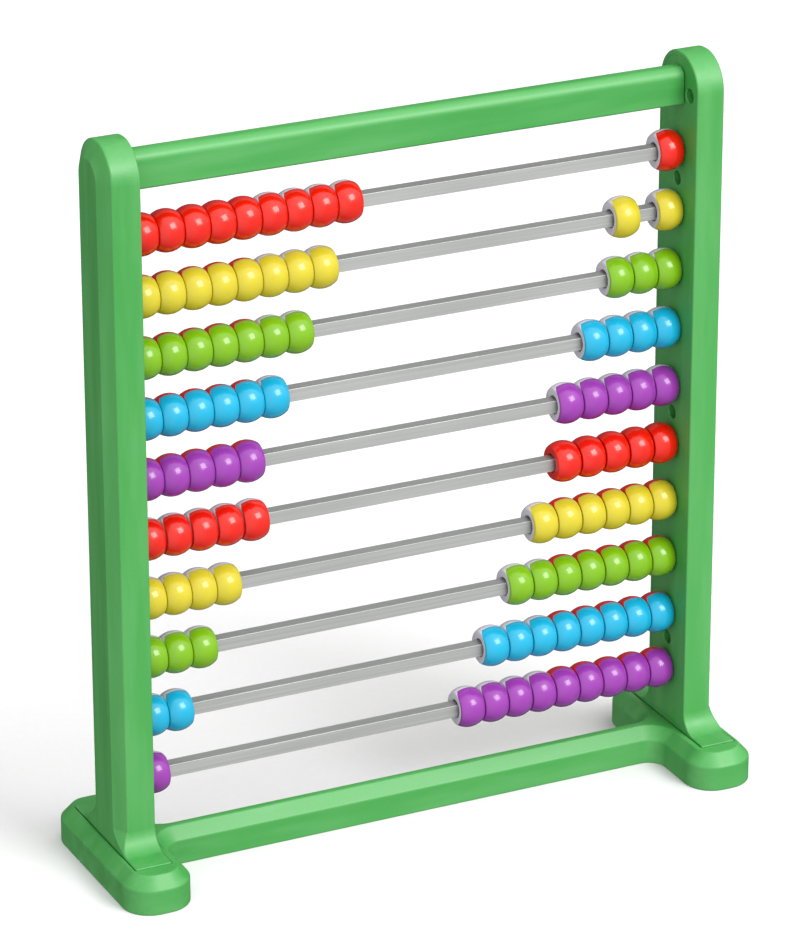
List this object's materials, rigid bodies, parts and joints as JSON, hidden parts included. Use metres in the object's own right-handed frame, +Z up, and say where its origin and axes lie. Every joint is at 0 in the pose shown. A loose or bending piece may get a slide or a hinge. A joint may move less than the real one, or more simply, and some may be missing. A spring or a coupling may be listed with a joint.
{
  "type": "bead counting frame",
  "caption": "Upright counting frame: round-topped uprights on an H-shaped base carry a rounded top rail and square rods with sliding two-tone barrel beads.",
  "frame": {"origin": "On the table, under the middle of the base, midway between the uprights.", "axes": "+X runs along the rods to the viewer's right, -Y is the front that the viewer faces, +Z is up."},
  "size_m": [0.2784, 0.0846, 0.305],
  "materials": {
    "frame_green": "moulded green plastic with a satin skin",
    "rod_metal": "satin drawn square bar",
    "screw_steel": "plain steel self-tapping screw",
    "bead_red": "polished red moulded plastic",
    "bead_yellow": "polished yellow moulded plastic over a red or white back",
    "bead_green": "polished lime green moulded plastic over a red or white back",
    "bead_blue": "polished sky blue moulded plastic over a red or white back",
    "bead_purple": "polished purple moulded plastic over a red or white back"
  },
  "bodies": {
    "frame": {"base": "frame_green", "top_rail": "frame_green", "left_upright_shell": "frame_green", "left_upright_plate": "frame_green", "left_upright_screw_1": "screw_steel", "left_upright_screw_2": "screw_steel", "left_upright_screw_3": "screw_steel", "left_upright_screw_4": "screw_steel", "left_upright_screw_5": "screw_steel", "right_upright_shell": "frame_green", "right_upright_plate": "frame_green", "right_upright_screw_1": "screw_steel", "right_upright_screw_2": "screw_steel", "right_upright_screw_3": "screw_steel", "right_upright_screw_4": "screw_steel", "right_upright_screw_5": "screw_steel", "row_01_rod": "rod_metal", "row_02_rod": "rod_metal", "row_03_rod": "rod_metal", "row_04_rod": "rod_metal", "row_05_rod": "rod_metal", "row_06_rod": "rod_metal", "row_07_rod": "rod_metal", "row_08_rod": "rod_metal", "row_09_rod": "rod_metal", "row_10_rod": "rod_metal"},
    "row_01_left_beads": {"row_01_beads_1_to_5": "bead_red", "row_01_beads_6_to_9": "bead_red"},
    "row_01_right_bead": {"row_01_bead_10": "bead_red"},
    "row_02_left_beads": {"row_02_beads_1_to_5": "bead_yellow", "row_02_beads_6_to_8": "bead_yellow"},
    "row_02_middle_bead": {"row_02_bead_9": "bead_yellow"},
    "row_02_right_bead": {"row_02_bead_10": "bead_yellow"},
    "row_03_left_beads": {"row_03_beads_1_to_5": "bead_green", "row_03_bead_6": "bead_green", "row_03_bead_7": "bead_green"},
    "row_03_right_beads": {"row_03_beads_8_to_10": "bead_green"},
    "row_04_left_beads": {"row_04_beads_1_to_5": "bead_blue", "row_04_bead_6": "bead_blue"},
    "row_04_right_beads": {"row_04_beads_7_to_10": "bead_blue"},
    "row_05_left_beads": {"row_05_beads_1_to_5": "bead_purple"},
    "row_05_right_beads": {"row_05_beads_6_to_10": "bead_purple"},
    "row_06_left_beads": {"row_06_beads_1_to_5": "bead_red"},
    "row_06_right_beads": {"row_06_beads_6_to_10": "bead_red"},
    "row_07_left_beads": {"row_07_beads_1_to_4": "bead_yellow"},
    "row_07_right_beads": {"row_07_bead_5": "bead_yellow", "row_07_beads_6_to_10": "bead_yellow"},
    "row_08_left_beads": {"row_08_beads_1_to_3": "bead_green"},
    "row_08_right_beads": {"row_08_bead_4": "bead_green", "row_08_bead_5": "bead_green", "row_08_beads_6_to_10": "bead_green"},
    "row_09_left_beads": {"row_09_bead_1": "bead_blue", "row_09_bead_2": "bead_blue"},
    "row_09_right_beads": {"row_09_beads_3_to_5": "bead_blue", "row_09_beads_6_to_10": "bead_blue"},
    "row_10_left_bead": {"row_10_bead_1": "bead_purple"},
    "row_10_right_beads": {"row_10_beads_2_to_5": "bead_purple", "row_10_beads_6_to_10": "bead_purple"}
  },
  "joints": [
    {"name": "row_01_left_beads_slide", "type": "slide", "parent": "frame", "child": "row_01_left_beads", "axis": [1, 0, 0], "range_m": [0, 0.1294]},
    {"name": "row_01_right_bead_slide", "type": "slide", "parent": "frame", "child": "row_01_right_bead", "axis": [1, 0, 0], "range_m": [-0.1294, 0]},
    {"name": "row_02_left_beads_slide", "type": "slide", "parent": "frame", "child": "row_02_left_beads", "axis": [1, 0, 0], "range_m": [0, 0.1208]},
    {"name": "row_02_middle_bead_slide", "type": "slide", "parent": "frame", "child": "row_02_middle_bead", "axis": [1, 0, 0], "range_m": [-0.1208, 0.0084]},
    {"name": "row_02_right_bead_slide", "type": "slide", "parent": "frame", "child": "row_02_right_bead", "axis": [1, 0, 0], "range_m": [-0.0084, 0]},
    {"name": "row_03_left_beads_slide", "type": "slide", "parent": "frame", "child": "row_03_left_beads", "axis": [1, 0, 0], "range_m": [0, 0.129]},
    {"name": "row_03_right_beads_slide", "type": "slide", "parent": "frame", "child": "row_03_right_beads", "axis": [1, 0, 0], "range_m": [-0.129, 0]},
    {"name": "row_04_left_beads_slide", "type": "slide", "parent": "frame", "child": "row_04_left_beads", "axis": [1, 0, 0], "range_m": [0, 0.1288]},
    {"name": "row_04_right_beads_slide", "type": "slide", "parent": "frame", "child": "row_04_right_beads", "axis": [1, 0, 0], "range_m": [-0.1288, 0]},
    {"name": "row_05_left_beads_slide", "type": "slide", "parent": "frame", "child": "row_05_left_beads", "axis": [1, 0, 0], "range_m": [0, 0.1286]},
    {"name": "row_05_right_beads_slide", "type": "slide", "parent": "frame", "child": "row_05_right_beads", "axis": [1, 0, 0], "range_m": [-0.1286, 0]},
    {"name": "row_06_left_beads_slide", "type": "slide", "parent": "frame", "child": "row_06_left_beads", "axis": [1, 0, 0], "range_m": [0, 0.1261]},
    {"name": "row_06_right_beads_slide", "type": "slide", "parent": "frame", "child": "row_06_right_beads", "axis": [1, 0, 0], "range_m": [-0.1261, 0]},
    {"name": "row_07_left_beads_slide", "type": "slide", "parent": "frame", "child": "row_07_left_beads", "axis": [1, 0, 0], "range_m": [0, 0.1284]},
    {"name": "row_07_right_beads_slide", "type": "slide", "parent": "frame", "child": "row_07_right_beads", "axis": [1, 0, 0], "range_m": [-0.1284, 0]},
    {"name": "row_08_left_beads_slide", "type": "slide", "parent": "frame", "child": "row_08_left_beads", "axis": [1, 0, 0], "range_m": [0, 0.1282]},
    {"name": "row_08_right_beads_slide", "type": "slide", "parent": "frame", "child": "row_08_right_beads", "axis": [1, 0, 0], "range_m": [-0.1282, 0]},
    {"name": "row_09_left_beads_slide", "type": "slide", "parent": "frame", "child": "row_09_left_beads", "axis": [1, 0, 0], "range_m": [0, 0.128]},
    {"name": "row_09_right_beads_slide", "type": "slide", "parent": "frame", "child": "row_09_right_beads", "axis": [1, 0, 0], "range_m": [-0.128, 0]},
    {"name": "row_10_left_bead_slide", "type": "slide", "parent": "frame", "child": "row_10_left_bead", "axis": [1, 0, 0], "range_m": [0, 0.1278]},
    {"name": "row_10_right_beads_slide", "type": "slide", "parent": "frame", "child": "row_10_right_beads", "axis": [1, 0, 0], "range_m": [-0.1278, 0]}
  ]
}
